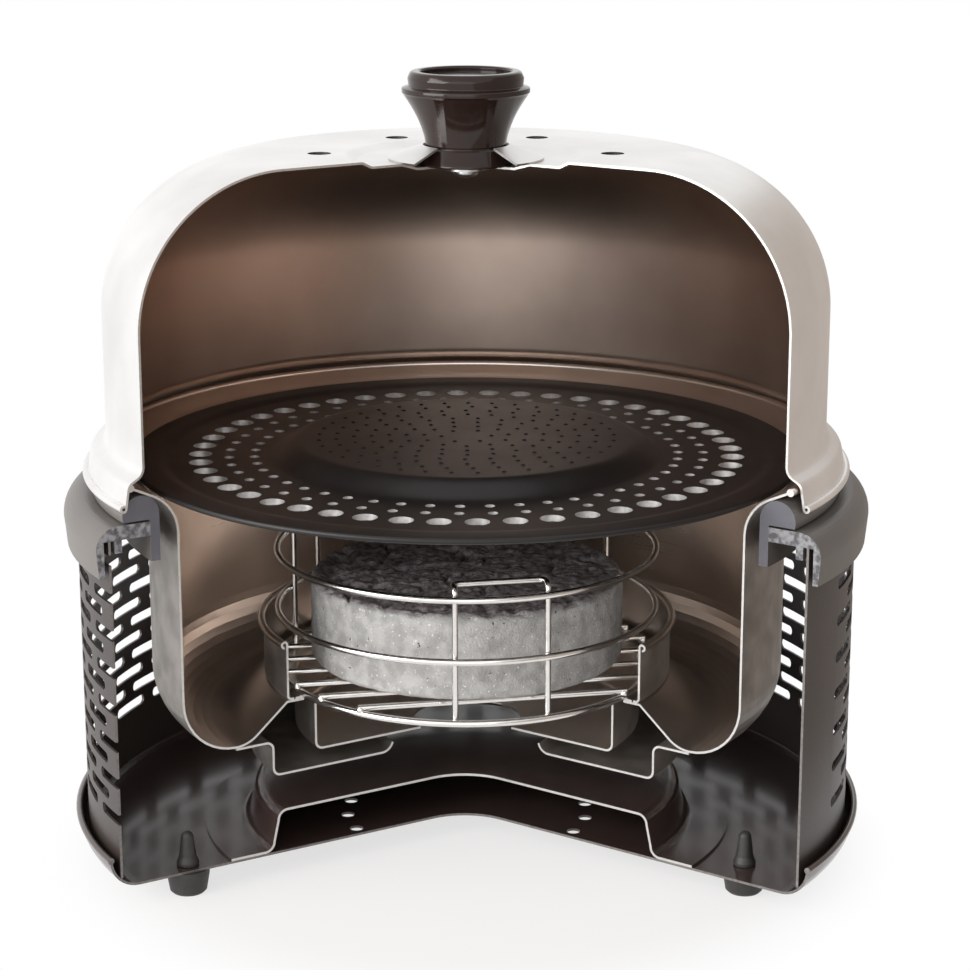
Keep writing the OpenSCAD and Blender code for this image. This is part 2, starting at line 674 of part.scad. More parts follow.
module knob_body() {
    thread_fit = 0.15;
    thread_spare = 1.5;
    base_h = 2;
    groove = 0.4;
    flange_drop = 6.6;
    flange_band = 1.2;
    flange_step = 0.6;
    flange_edge = 0.8;
    swell_power = 1.6;
    lip_drop = 4.8;
    lip_edge = 2;
    cap_fit = 0.1;
    cap_edge = 0.7;
    hole_r = screw_r + thread_fit;
    hole_top = seat_top + screw_l + thread_spare;
    flange_z = knob_top - flange_drop;
    lip_low = knob_top - lip_drop;
    swell_low = neck_z + 2.5 * groove;
    swell_top = flange_z - flange_band - flange_edge;
    swell = [for (i = [0:arc_n]) let (s = i / arc_n)
        [knob_neck_r + (knob_flange_r - flange_step - knob_neck_r) * pow(s, swell_power),
        swell_low + (swell_top - swell_low) * s]];
    outline = concat([[hole_r, seat_top], [knob_base_r, seat_top], [knob_base_r, seat_top + base_h],
        [knob_neck_r, neck_z - groove], [knob_neck_r - groove, neck_z],
        [knob_neck_r - groove, neck_z + groove]],
        swell, [[knob_flange_r, flange_z - flange_band], [knob_flange_r, flange_z],
        [knob_flange_r - flange_edge, flange_z + flange_edge], [knob_lip_r - groove, lip_low - flange_step],
        [knob_lip_r, lip_low]],
        arc([knob_lip_r - lip_edge, knob_top - lip_edge], lip_edge, 0, 90, 6),
        [[knob_cap_r + cap_fit + cap_edge, knob_top], [knob_cap_r + cap_fit, knob_top - cap_edge],
        [knob_cap_r + cap_fit, cap_z], [0, cap_z], [0, hole_top], [hole_r, hole_top]]);
    color([0.07, 0.05, 0.045]) rotate_extrude() polygon(outline);
}

module knob_cap() {
    cap_t = 1.2;
    cap_bevel = 0.4;
    outline = [[0, cap_z], [knob_cap_r, cap_z], [knob_cap_r, cap_z + cap_t - cap_bevel],
        [knob_cap_r - cap_bevel, cap_z + cap_t], [0, cap_z + cap_t]];
    color([0.09, 0.065, 0.055]) rotate_extrude() polygon(outline);
}

// Fixings under the lid
washer_t = 1.2;
washer_top = seat_z - steel_t / 2;
head_top = washer_top - washer_t;

module knob_screw() {
    head_r = 2 * screw_r;
    head_h = 1.3 * screw_r;
    edge_h = 0.35 * head_h;
    outline = concat([[0, head_top - head_h]],
        [for (i = [1:6]) let (a = 90 * i / 6)
            [head_r * sin(a), head_top - edge_h - (head_h - edge_h) * cos(a)]],
        [[head_r, head_top], [screw_r, head_top], [screw_r, seat_top + screw_l], [0, seat_top + screw_l]]);
    color([0.7, 0.7, 0.7]) rotate_extrude() polygon(outline);
}

module knob_washer() {
    washer_fit = 0.2;
    hole_r = screw_r + washer_fit;
    color([0.72, 0.72, 0.72]) rotate_extrude()
        translate([hole_r, head_top]) square([washer_r - hole_r, washer_t]);
}

base_tray();
pedestal();
perforated_wall();
collar_ring();
bowl_seat_ring();
foot_left();
foot_right();
foot_back();
inner_bowl();
well_guard();
well_cup();
support_ring();
basket_top_hoop();
basket_middle_hoop();
basket_bottom_hoop();
basket_grate();
lift_loop_front();
lift_loop_left();
lift_loop_right();
fuel_disc();
grill_plate();
dome_lid();
knob_ferrule();
knob_body();
knob_cap();
knob_screw();
knob_washer();
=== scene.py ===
"""A tabletop charcoal grill with a wedge cut out of its shells, dressed for a studio picture."""

import bmesh
import bpy
import numpy as np
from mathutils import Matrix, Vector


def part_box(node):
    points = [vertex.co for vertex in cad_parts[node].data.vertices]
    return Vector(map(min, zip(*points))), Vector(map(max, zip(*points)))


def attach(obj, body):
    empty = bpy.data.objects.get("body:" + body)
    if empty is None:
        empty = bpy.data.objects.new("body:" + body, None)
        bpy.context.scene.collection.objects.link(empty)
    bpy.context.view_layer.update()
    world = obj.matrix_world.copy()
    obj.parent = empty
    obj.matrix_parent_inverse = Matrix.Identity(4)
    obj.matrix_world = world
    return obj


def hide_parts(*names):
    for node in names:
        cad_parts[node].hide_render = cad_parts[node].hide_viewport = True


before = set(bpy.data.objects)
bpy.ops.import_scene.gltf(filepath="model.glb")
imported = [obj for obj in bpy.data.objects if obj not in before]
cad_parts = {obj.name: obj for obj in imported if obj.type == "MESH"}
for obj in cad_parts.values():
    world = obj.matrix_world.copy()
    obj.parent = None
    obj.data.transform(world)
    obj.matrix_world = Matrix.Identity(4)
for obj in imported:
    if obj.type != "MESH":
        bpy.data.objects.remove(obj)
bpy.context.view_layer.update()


# Base tray
# A black enamelled steel pressing with a rolled rim, which carries the whole grill. Its floor has a
# ring of small air holes, and the bare edge of the sheet shows where it was cut open.
mm = 0.001
cut_half = np.radians(57)
stand_turn = np.radians(-2)
tip_round = 25 * mm


class Wire:
    """One output of a material's nodes. Arithmetic on wires adds Math nodes to the same material."""

    def __init__(self, tree, socket=None):
        self.tree = tree
        self.socket = socket

    def node(self, kind, settings=None, inputs=None, out=0):
        """A new node: its settings are made first, then its inputs are set or linked. Gives one output."""
        made = self.tree.nodes.new("ShaderNode" + kind)
        for name, value in (settings or {}).items():
            setattr(made, name, value)
        for name, value in (inputs or {}).items():
            if isinstance(value, Wire):
                self.tree.links.new(value.socket, made.inputs[name])
            else:
                made.inputs[name].default_value = value
        return Wire(self.tree, made.outputs[out] if made.outputs else None)

    def __add__(self, other):
        return self.node("Math", {"operation": "ADD"}, {0: self, 1: other})

    def __mul__(self, other):
        return self.node("Math", {"operation": "MULTIPLY"}, {0: self, 1: other})

    def __sub__(self, other):
        return self.node("Math", {"operation": "SUBTRACT"}, {0: self, 1: other})

    def __rsub__(self, other):
        return self.node("Math", {"operation": "SUBTRACT"}, {0: other, 1: self})

    __radd__ = __add__
    __rmul__ = __mul__


def finish(name):
    """A new material without nodes, and a wire at its Object coordinates, which are in metres."""
    material = bpy.data.materials.new(name)
    material.use_nodes = True
    material.node_tree.nodes.clear()
    return material, Wire(material.node_tree).node("TexCoord", out="Object")


def coat(place, sockets):
    """Ends a material in one Principled shader with these sockets."""
    shader = place.node("BsdfPrincipled", {}, sockets)
    place.node("OutputMaterial", {}, {"Surface": shader})


def grain(place, size, detail=2):
    """Noise from 0 to 1 whose lumps are about this size."""
    return place.node("TexNoise", {}, {"Vector": place, "Scale": 1 / size, "Detail": detail})


def between(value, low, high):
    """A smooth step from 0 at low to 1 at high."""
    return value.node("MapRange", {"interpolation_type": "SMOOTHSTEP"},
                      {"Value": value, "From Min": low, "From Max": high})


def tint(mask, low, high):
    """The colour low where the mask is 0 and high where it is 1."""
    return mask.node("Mix", {"data_type": "RGBA"}, {0: mask, 6: low, 7: high}, out=2)


def relief(height, depth):
    """A normal for a surface that rises by the depth where the height is 1."""
    return height.node("Bump", {}, {"Height": height, "Distance": depth, "Strength": 1.0})


def dress(node, *materials, share=None):
    """Gives a CAD node its finishes in place of the plain one. The share holds each face's finish."""
    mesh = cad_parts[node].data
    mesh.materials.clear()
    for material in materials:
        mesh.materials.append(material)
    if share is not None:
        mesh.polygons.foreach_set("material_index", share.astype(np.int32))


def facets(node):
    """The middle and the normal of each face of a CAD node, as three arrays each."""
    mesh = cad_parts[node].data
    middle = np.empty(3 * len(mesh.polygons))
    facing = np.empty(3 * len(mesh.polygons))
    mesh.polygons.foreach_get("center", middle)
    mesh.polygons.foreach_get("normal", facing)
    return middle.reshape(-1, 3).T, facing.reshape(-1, 3).T


def cut_faces(node, turn, tip=0.0):
    """True for the faces in the cut: those that lie in one of its two planes, or stand on the round tip
    between them."""
    hair = 0.02 * mm
    (x, y, _), (across, along, up) = facets(node)
    in_cut = np.zeros(len(x), bool)
    for side in (turn - np.pi / 2 - cut_half, turn - np.pi / 2 + cut_half):
        off = x * np.sin(side) - y * np.cos(side)
        square = across * np.sin(side) - along * np.cos(side)
        in_cut |= (np.abs(off) < hair) & (np.abs(square) > 0.99)
    if tip:
        reach = tip / np.sin(cut_half)
        off = np.hypot(x - reach * np.sin(turn), y + reach * np.cos(turn)) - tip
        in_cut |= (np.abs(off) < 4 * hair) & (np.abs(up) < 0.1)
    return in_cut


cut_steel, place = finish("bare cut steel")
coat(place, {
    "Base Color": tint(grain(place, 1.2 * mm), (0.52, 0.5, 0.48, 1), (0.78, 0.76, 0.73, 1)),
    "Metallic": 1.0,
    "Roughness": 0.3 + 0.15 * grain(place, 0.4 * mm),
})

cut_sheet, place = finish("dull cut sheet")
coat(place, {
    "Base Color": tint(grain(place, 1.5 * mm), (0.1, 0.09, 0.085, 1), (0.3, 0.28, 0.265, 1)),
    "Metallic": 0.6,
    "Roughness": 0.5,
})

enamel, place = finish("black enamel")
peel = grain(place, 0.9 * mm, 1)
cloud = grain(place, 18 * mm, 3)
coat(place, {
    "Base Color": tint(cloud, (0.04, 0.024, 0.021, 1), (0.068, 0.046, 0.041, 1)),
    "Roughness": 0.12 + 0.14 * cloud,
    "Coat Weight": 0.4,
    "Coat Roughness": 0.12,
    "Normal": relief(peel, 0.006 * mm),
})
dress("base_tray", enamel, cut_sheet, share=cut_faces("base_tray", stand_turn, tip_round))


# Pedestal
# A second black enamelled pressing, a round plateau on a flat flange, that stands on the tray's floor
# and keeps the heat of the fire off it.
dress("pedestal", enamel, cut_steel, share=cut_faces("pedestal", stand_turn, tip_round))


# Rubber feet
# Moulded push-in feet: a pad under the tray and a barbed tail that was pulled through its floor.
rubber, place = finish("black rubber")
bloom = grain(place, 3 * mm, 4)
coat(place, {
    "Base Color": tint(bloom, (0.014, 0.013, 0.013, 1), (0.05, 0.046, 0.044, 1)),
    "Roughness": 0.42 + 0.25 * bloom,
    "Normal": relief(grain(place, 0.5 * mm), 0.03 * mm),
})
for side in ("left", "right", "back"):
    dress("foot_" + side, rubber)


# Perforated wall
# Rolled sheet steel with rows of slots laid like bricks and one plain strip, powder coated in black.
powder, place = finish("black powder coat")
speck = grain(place, 0.7 * mm, 2)
fade = grain(place, 40 * mm, 2)
coat(place, {
    "Base Color": tint(fade, (0.024, 0.017, 0.014, 1), (0.046, 0.034, 0.03, 1)),
    "Roughness": 0.35 + 0.16 * speck,
    "Specular IOR Level": 0.6,
    "Normal": relief(speck, 0.02 * mm),
})
dress("perforated_wall", powder, cut_sheet, share=cut_faces("perforated_wall", stand_turn))


# Collar ring
# A moulded plastic ring that grips the top edge of the wall and rounds off the stand's shoulder. Where it
# was sawn through, the plastic is rough and mottled.
moulded, place = finish("satin moulded plastic")
haze = grain(place, 30 * mm, 3)
coat(place, {
    "Base Color": tint(haze, (0.115, 0.102, 0.094, 1), (0.165, 0.15, 0.138, 1)),
    "Roughness": 0.34 + 0.14 * haze,
    "Normal": relief(grain(place, 0.6 * mm), 0.015 * mm),
})
sawn, place = finish("sawn plastic")
tooth = grain(place, 2.2 * mm, 5)
coat(place, {
    "Base Color": tint(between(tooth, 0.35, 0.65), (0.08, 0.079, 0.085, 1), (0.29, 0.285, 0.3, 1)),
    "Roughness": 0.5,
    "Normal": relief(tooth, 0.4 * mm),
})
dress("collar_ring", moulded, sawn, share=cut_faces("collar_ring", stand_turn))


# Bowl seat ring
# A second moulded ring with a round bulb on a leg, set into the collar. The bowl's flange rests on it.
trimmed, place = finish("trimmed plastic")
shade = grain(place, 9 * mm, 2)
coat(place, {
    "Base Color": tint(shade, (0.085, 0.084, 0.1, 1), (0.14, 0.138, 0.158, 1)),
    "Roughness": 0.38 + 0.1 * shade,
    "Normal": relief(grain(place, 0.8 * mm), 0.05 * mm),
})
dress("bowl_seat_ring", moulded, trimmed, share=cut_faces("bowl_seat_ring", stand_turn))


# Inner bowl
# A deep pressing of stainless steel: a flared rim that hangs on the seat ring, a round moat and a cone in
# the middle. It is smooth inside and cloudy outside.
bowl_turn = np.radians(-1.5)


def from_axis(place):
    """The distance of a place from the upright axis: the length of its X and Y."""
    flat = place.node("VectorMath", {"operation": "MULTIPLY"}, {0: place, 1: (1, 1, 0)})
    return place.node("VectorMath", {"operation": "LENGTH"}, {0: flat}, out="Value")


def above_table(place):
    """The height of a place."""
    return place.node("SeparateXYZ", {}, {0: place}, out="Z")


def rings(place, size):
    """Noise from 0 to 1 that runs round the axis, from the distance to it and the height."""
    spot = place.node("CombineXYZ", {}, {"X": from_axis(place), "Y": above_table(place)})
    return grain(spot, size, 3)


def steel(name, dark, pale, rough, cloud, line, bare=1.0):
    """Pressed steel whose colour goes from dark to pale in clouds of a size, with fine lines from its die
    that are as deep as the line. A satin or smoked surface is less bare."""
    material, place = finish(name)
    mottle = grain(place, cloud, 4)
    lines = rings(place, 0.5 * mm)
    coat(place, {
        "Base Color": tint(between(mottle, 0.3, 0.7), dark, pale),
        "Metallic": bare,
        "Roughness": rough + 0.1 * mottle + 0.06 * lines,
        "Normal": relief(lines, line),
    })
    return material


def upper_faces(node):
    """True for the faces that look up, or to the axis where they are upright."""
    (x, y, _), (across, along, up) = facets(node)
    out = (across * x + along * y) / np.hypot(x, y)
    return up - 0.3 * out > 0


bowl_inside = steel("smooth bowl steel", (0.72, 0.645, 0.59, 1), (0.81, 0.74, 0.685, 1),
                    0.22, 60 * mm, 0.004 * mm)
bowl_outside = steel("cloudy bowl steel", (0.61, 0.565, 0.525, 1), (0.83, 0.78, 0.735, 1),
                     0.34, 14 * mm, 0.006 * mm)
dress("inner_bowl", bowl_outside, bowl_inside, cut_steel,
      share=np.where(cut_faces("inner_bowl", bowl_turn), 2, upper_faces("inner_bowl")))


# Support ring
# An annular dish welded under the moat. The bowl stands on it when it is lifted out of the stand.
dress("support_ring", bowl_outside, cut_steel, share=cut_faces("support_ring", bowl_turn))


# Well cup
# A pressed cup with a hole in its floor, hung in the middle of the bowl, that lets air up to the fire.
dress("well_cup", bowl_outside, bowl_inside, cut_steel,
      share=np.where(cut_faces("well_cup", bowl_turn), 2, upper_faces("well_cup")))


# Well guard
# An upright steel band with its top edge rolled outwards, spot welded to the ledge round the fire basket.
def arc(middle, radius, start, stop, steps):
    """Points on a circle from one angle to another, in degrees. A pair of radii makes it an ellipse."""
    angle = np.radians(np.linspace(start, stop, steps + 1))[:, None]
    return np.array(middle) + np.array(radius) * np.hstack((np.cos(angle), np.sin(angle)))


def rounded(corners, radii, steps=8):
    """A path through corners, each cut off by an arc of its radius that touches both of its sides."""
    corners = np.array(corners, float)
    path = [corners[:1]]
    for before, at, after, radius in zip(corners, corners[1:], corners[2:], radii):
        come = (at - before) / np.linalg.norm(at - before)
        go = (after - at) / np.linalg.norm(after - at)
        ahead = (come + go) / np.linalg.norm(come + go)
        inward = (go - come) / np.linalg.norm(go - come)
        half = np.arccos(np.clip(come @ go, -1, 1)) / 2
        swing = np.linspace(-half, half, steps + 1)[:, None]
        middle = at + inward * radius / np.cos(half)
        path.append(middle + radius * (ahead * np.sin(swing) - inward * np.cos(swing)))
    path.append(corners[-1:])
    return np.concatenate(path)


def pressed(path, thickness, angles, closed, holes=(), curl=0):
    """A sheet whose middle follows a path of (distance from the axis, height) and is spun through the
    angles. Its two sides lie half the thickness to the left and right of the path. Each hole (distance,
    angle, radius, margin) takes out the cells within the margin and joins their border to a circle. The
    last steps of the path, as many as the curl, have the left finish on both sides. Gives vertices, faces
    and each face's finish: 0 left, 1 right, 2 edges, 3 walls of the holes."""
    hair = 0.01
    step = np.diff(path, axis=0)
    step /= np.linalg.norm(step, axis=1, keepdims=True)
    ahead = np.concatenate((step[:1], step[:-1] + step[1:], step[-1:]))
    ahead /= np.linalg.norm(ahead, axis=1, keepdims=True)
    aside = np.column_stack((-ahead[:, 1], ahead[:, 0])) * np.reshape(thickness, (-1, 1)) / 2
    sides = np.stack((path + aside, path - aside))
    out = sides[:, None, :, 0]
    up = np.broadcast_to(sides[:, None, :, 1], (2, len(angles), len(path)))
    east = out * np.cos(angles)[:, None]
    north = out * np.sin(angles)[:, None]
    points = [np.stack((east, north, up), axis=-1).reshape(-1, 3)]
    left, right = np.arange(up.size).reshape(up.shape)
    whole = np.ones((len(angles) - (not closed), len(path) - 1), bool)
    faces = []
    share = []

    def strip(a, b, finish_index):
        """Faces between two rows of points, turned so that b is ahead of a."""
        faces.append(np.stack((a[:-1], a[1:], b[1:], b[:-1]), axis=-1))
        share.append(np.full(len(a) - 1, finish_index))

    count = up.size
    for distance, angle, radius, margin in holes:
        rows = np.flatnonzero(np.abs(path[:, 0] - distance) < margin + hair)
        off = (angles - angle + np.pi) % (2 * np.pi) - np.pi
        columns = np.flatnonzero(np.abs(off) * distance < margin + hair)
        columns = columns[np.argsort(off[columns])]
        whole[np.ix_(columns[:-1], rows[:-1])] = False
        border = np.concatenate((
            np.stack((columns[:-1], np.full(len(columns) - 1, rows[0]))).T,
            np.stack((np.full(len(rows) - 1, columns[-1]), rows[:-1])).T,
            np.stack((columns[:0:-1], np.full(len(columns) - 1, rows[-1]))).T,
            np.stack((np.full(len(rows) - 1, columns[0]), rows[:0:-1])).T,
        ))
        border = np.concatenate((border, border[:1]))
        middle = distance * np.array((np.cos(angle), np.sin(angle)))
        rims = []
        for grid, side in ((left, 0), (right, 1)):
            edge = grid[border[:, 0], border[:, 1]]
            away = points[0][edge[:-1], :2] - middle
            circle = middle + radius * away / np.linalg.norm(away, axis=1, keepdims=True)
            level = np.interp(np.linalg.norm(circle, axis=1), sides[side, rows, 0], sides[side, rows, 1])
            points.append(np.column_stack((circle, level)))
            rim = np.append(np.arange(len(circle)), 0) + count
            count += len(circle)
            rims.append(rim)
            strip(*((rim, edge) if side == 0 else (edge, rim)), side)
        strip(rims[1], rims[0], 3)

    across = np.arange(len(angles) - (not closed))
    j, i = np.nonzero(whole)
    k = (j + 1) % len(angles)
    faces.append(np.stack((left[j, i], left[j, i + 1], left[k, i + 1], left[k, i]), axis=-1))
    share.append(np.zeros(len(j), int))
    faces.append(np.stack((right[j, i], right[k, i], right[k, i + 1], right[j, i + 1]), axis=-1))
    share.append((i < len(path) - 1 - curl).astype(int))
    loop = np.append(across, (across[-1] + 1) % len(angles))
    strip(right[loop, 0], left[loop, 0], 2)
    strip(left[loop, -1], right[loop, -1], 2)
    if not closed:
        strip(left[0], right[0], 2)
        strip(right[-1], left[-1], 2)
    return np.concatenate(points), np.concatenate(faces), np.concatenate(share)


def piece(name, shape, materials, body, slot, *stands_for):
    """A new piece from vertices in millimetres, faces and each face's finish. It joins points that lie on
    each other and keeps corners over 35 degrees sharp."""
    vertices, faces, share = shape
    mesh = bpy.data.meshes.new(name)
    mesh.from_pydata((vertices * mm).tolist(), [], faces.tolist())
    for material in materials:
        mesh.materials.append(material)
    mesh.polygons.foreach_set("material_index", share.astype(np.int32))
    work = bmesh.new()
    work.from_mesh(mesh)
    bmesh.ops.remove_doubles(work, verts=work.verts, dist=1e-6)
    bmesh.ops.dissolve_degenerate(work, edges=work.edges, dist=1e-7)
    work.to_mesh(mesh)
    work.free()
    mesh.shade_smooth()
    mesh.set_sharp_from_angle(angle=np.radians(35))
    made = bpy.data.objects.new(name, mesh)
    bpy.context.scene.collection.objects.link(made)
    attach(made, body)
    if stands_for:
        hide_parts(*stands_for)


def cut_angles(turn, half=cut_half):
    """Angles, about a degree apart, round all but the wedge that is cut away."""
    count = round(2 * (180 - np.degrees(half)))
    return turn - np.pi / 2 + np.linspace(half, 2 * np.pi - half, count + 1)


steel_t = 0.9
guard_low, guard_high = (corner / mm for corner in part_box("well_guard"))
guard_r = 82.0
guard_foot_w = 2.6
guard_corner = 1.5
guard_curl = 1.15
guard_foot = guard_low[2] + steel_t / 2
guard_top = guard_high[2] - guard_curl - steel_t / 2
guard_path = np.concatenate((
    rounded(((guard_r - guard_foot_w, guard_foot), (guard_r, guard_foot), (guard_r, guard_top)),
            (guard_corner,)),
    arc((guard_r + guard_curl, guard_top), guard_curl, 180, -92, 28)[1:],
))
piece("guard_band", pressed(guard_path, steel_t, cut_angles(bowl_turn), False),
      (bowl_inside, bowl_outside, cut_steel), "bowl", "bowl_steel", "well_guard")


# Fire basket
# Three hoops, a grate of straight bars and three bent loops of chromed wire, resistance welded where they
# cross. Each weld leaves a small round blob.
chrome, place = finish("bright chrome")
tarnish = grain(place, 5 * mm, 3)
coat(place, {
    "Base Color": tint(tarnish, (0.7, 0.67, 0.64, 1), (0.9, 0.88, 0.85, 1)),
    "Metallic": 1.0,
    "Roughness": 0.1 + 0.14 * tarnish,
})
for node in ("basket_top_hoop", "basket_middle_hoop", "basket_bottom_hoop", "basket_grate",
             "lift_loop_front", "lift_loop_left", "lift_loop_right"):
    dress(node, chrome)

basket_turn = np.radians(11)
hoop_r = 76.5
hoop_wire = 1.35
bar_wire = 1.2
weld_sink = 0.3
bar_weld_rise = 0.1
upright_r = hoop_r - hoop_wire - bar_wire + weld_sink
bar_count = 8
bar_gap = 16
bar_y = (np.arange(bar_count) - (bar_count - 1) / 2) * bar_gap
bar_x = np.sqrt(hoop_r ** 2 - bar_y ** 2)
low_hoop, middle_hoop, top_hoop = (
    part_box("basket_%s_hoop" % level)[0][2] / mm + hoop_wire for level in ("bottom", "middle", "top"))
bar_ends = np.concatenate((np.column_stack((bar_x, bar_y)), np.column_stack((-bar_x, bar_y))))
bar_welds = np.column_stack((bar_ends, np.full(len(bar_ends), low_hoop + hoop_wire + bar_weld_rise)))
stays = np.array([(-90, 36), (-90, -36), (145, 21), (145, -21), (35, 21), (35, -21)], float)
stay_angle = np.radians(stays[:, 0]) + np.arcsin(stays[:, 1] / 2 / upright_r)
stay_r = upright_r + bar_wire - weld_sink / 2
stay_spots = stay_r * np.column_stack((np.cos(stay_angle), np.sin(stay_angle)))
stay_welds = np.concatenate([np.column_stack((stay_spots, np.full(len(stays), level)))
                             for level in (low_hoop, middle_hoop, top_hoop)])
spots = np.concatenate((bar_welds, stay_welds))
turning = np.array(((np.cos(basket_turn), np.sin(basket_turn)),
                    (-np.sin(basket_turn), np.cos(basket_turn))))
spots[:, :2] = spots[:, :2] @ turning


def blobs(spots, radii):
    """A small ball at each spot: its rings run from pole to pole in 6 steps, with 10 points each."""
    polar = np.linspace(0, np.pi, 7)[:, None]
    around = np.linspace(0, 2 * np.pi, 10, endpoint=False)
    ball = np.stack(np.broadcast_arrays(np.sin(polar) * np.cos(around), np.sin(polar) * np.sin(around),
                                        np.cos(polar)), axis=-1)
    points = spots[:, None, None] + radii[:, None, None, None] * ball
    index = np.arange(points.size // 3).reshape(points.shape[:3])
    beside = np.roll(index, -1, axis=2)
    faces = np.stack((index[:, :-1], index[:, 1:], beside[:, 1:], beside[:, :-1]), axis=-1)
    return points.reshape(-1, 3), faces.reshape(-1, 4), np.zeros(faces.size // 4)


weld_r = np.random.default_rng(4).uniform(1.45, 1.8, len(spots))
weld_r[len(bar_welds):] *= 0.85
piece("basket_welds", blobs(spots, weld_r), (chrome,), "basket", "basket_wire")


# Fuel disc
# A pressed disc of charcoal: pale ash on its sides, a dark crumbling top with cracks and pits.
def smooth(low, high, value):
    """A smooth step from 0 at low to 1 at high: three squares of the part less two cubes."""
    part = np.clip((value - low) / (high - low), 0, 1)
    return part * part * (3 - 2 * part)


def lumps(points, size, seed):
    """Smooth noise from 0 to 1: random values on a cubic lattice, blended between the eight corners round
    each point."""
    cells = 32
    lattice = np.random.default_rng(seed).random((cells, cells, cells))
    corner = np.floor(points / size).astype(int)
    part = smooth(0, 1, points / size - corner)
    total = 0
    for reach in np.ndindex(2, 2, 2):
        weight = np.where(reach, part, 1 - part).prod(axis=-1)
        total = total + weight * lattice[tuple(np.moveaxis((corner + reach) % cells, -1, 0))]
    return total


def spread(path, spacing):
    """The same path with points an even spacing apart."""
    along = np.append(0, np.cumsum(np.linalg.norm(np.diff(path, axis=0), axis=1)))
    even = np.linspace(0, along[-1], round(along[-1] / spacing) + 1)
    return np.column_stack((np.interp(even, along, path[:, 0]), np.interp(even, along, path[:, 1])))


def turned(path, steps):
    """A solid of revolution from a path that leaves the axis and comes back to it, the solid on its left.
    Gives a grid of points, faces and finishes."""
    angle = np.linspace(0, 2 * np.pi, steps, endpoint=False)[:, None]
    grid = np.stack(np.broadcast_arrays(path[:, 0] * np.cos(angle), path[:, 0] * np.sin(angle), path[:, 1]),
                    axis=-1)
    index = np.arange(grid.size // 3).reshape(grid.shape[:2])
    beside = np.roll(index, -1, axis=0)
    faces = np.stack((index[:, :-1], beside[:, :-1], beside[:, 1:], index[:, 1:]), axis=-1).reshape(-1, 4)
    return grid, faces, np.zeros(len(faces))


fuel_low, fuel_high = (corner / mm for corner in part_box("fuel_disc"))
fuel_r = fuel_high[0]
fuel_edges = (3, 3.8)
fuel_spacing = 0.9
fuel_steps = 360
fuel_outline = ((0, fuel_low[2]), (fuel_r, fuel_low[2]), (fuel_r, fuel_high[2]), (0, fuel_high[2]))
fuel_path = spread(rounded(fuel_outline, fuel_edges), fuel_spacing)
grid, faces, share = turned(fuel_path, fuel_steps)
slope = np.gradient(fuel_path, axis=0)
slope /= np.linalg.norm(slope, axis=1, keepdims=True)
angle = np.linspace(0, 2 * np.pi, fuel_steps, endpoint=False)[:, None]
facing = np.stack(np.broadcast_arrays(slope[:, 1] * np.cos(angle), slope[:, 1] * np.sin(angle),
                                      -slope[:, 0]), axis=-1)
# The depth is how far the surface lies under the plain disc: crumbs all over, and on top also cracks,
# small pits and one long pit behind the middle
on_top = np.clip((grid[..., 2] - fuel_high[2] + 6) / 5, 0, 1) ** 2
cracked = np.clip(lumps(grid, 21, 2) * 3 - 1.2, 0, 1)
crack = np.clip(1 - np.abs(2 * lumps(grid, 13, 1) - 1) * 6, 0, 1) * cracked
pits = np.clip(lumps(grid, 5, 3) * 4 - 2.6, 0, 1)
pit_off = np.hypot(grid[..., 0] / 4, (grid[..., 1] - 19) / 8)
pit = np.clip(1.6 - 1.6 * (pit_off + 0.5 * lumps(grid, 3, 4) - 0.25), 0, 1)
crumbs = 0.3 * lumps(grid, 7, 5) + 0.4 * lumps(grid, 2.6, 6) + 0.35 * lumps(grid, 1.4, 7)
depth = 0.9 * crumbs * (1 + 1.3 * on_top) + on_top * (2.4 * crack + 1.3 * pits + 5 * pit)
shape = (grid - facing * depth[..., None]).reshape(-1, 3)

ash, place = finish("pressed charcoal")
ragged_by = 6
ragged = above_table(place) - from_axis(place) + ragged_by * mm * grain(place, 6 * mm, 5)
top_edge = fuel_high[2] - fuel_r + ragged_by / 2
burnt = between(ragged, (top_edge - 0.6) * mm, (top_edge + 0.9) * mm)
mottle = tint(between(grain(place, 6 * mm, 3), 0.35, 0.65), (0.35, 0.343, 0.333, 1), (0.49, 0.482, 0.47, 1))
pale = tint(between(grain(place, 1.1 * mm, 3), 0.64, 0.7), mottle, (0.74, 0.73, 0.72, 1))
pored = tint(between(grain(place, 1.7 * mm, 2), 0.7, 0.74), pale, (0.07, 0.065, 0.063, 1))
crumb = tint(between(grain(place, 3 * mm, 5), 0.3, 0.7), (0.12, 0.1, 0.103, 1), (0.46, 0.4, 0.405, 1))
coat(place, {
    "Base Color": tint(burnt, pored, crumb),
    "Roughness": 0.85,
    "Normal": relief(grain(place, 0.9 * mm, 4), 0.5 * mm),
})
piece("charcoal_disc", (shape, faces, share), (ash,), "fuel", "charcoal", "fuel_disc")


# Cooking plate
# A pressed plate with a black non-stick coat: a raised middle with small pips, a shallow channel with one
# circle of large drain holes and two of small ones, and a rounded edge that stands on the bowl.
plate_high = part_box("grill_plate")[1] / mm
plate_t = 2.4
plate_r = plate_high[0]
plate_rise = 5
channel_dip = 1.2
plate_mid = plate_high[2] - plate_rise - plate_t / 2
hole_count = 48
hole_cells = 10
hole_turn = np.radians(2.5)
hole_step = np.radians(360 / hole_count)
bands = (79.5, 89.5, 99.5, 112.5)
edge = np.linspace(0, np.pi / 2, 8)
plate_out = np.concatenate((
    np.linspace(0, 60, 13), np.linspace(62, 78, 17), np.linspace(bands[0], bands[1], 5),
    np.linspace(bands[1], bands[2], 5)[1:], np.linspace(bands[2], bands[3], 6)[1:],
    np.linspace(114, 126, 13),
    plate_r - plate_t / 2 + plate_t / 2 * np.sin(edge),
))
bank = smooth(66, 79, plate_out)
outer_bank = smooth(118, 124, plate_out)
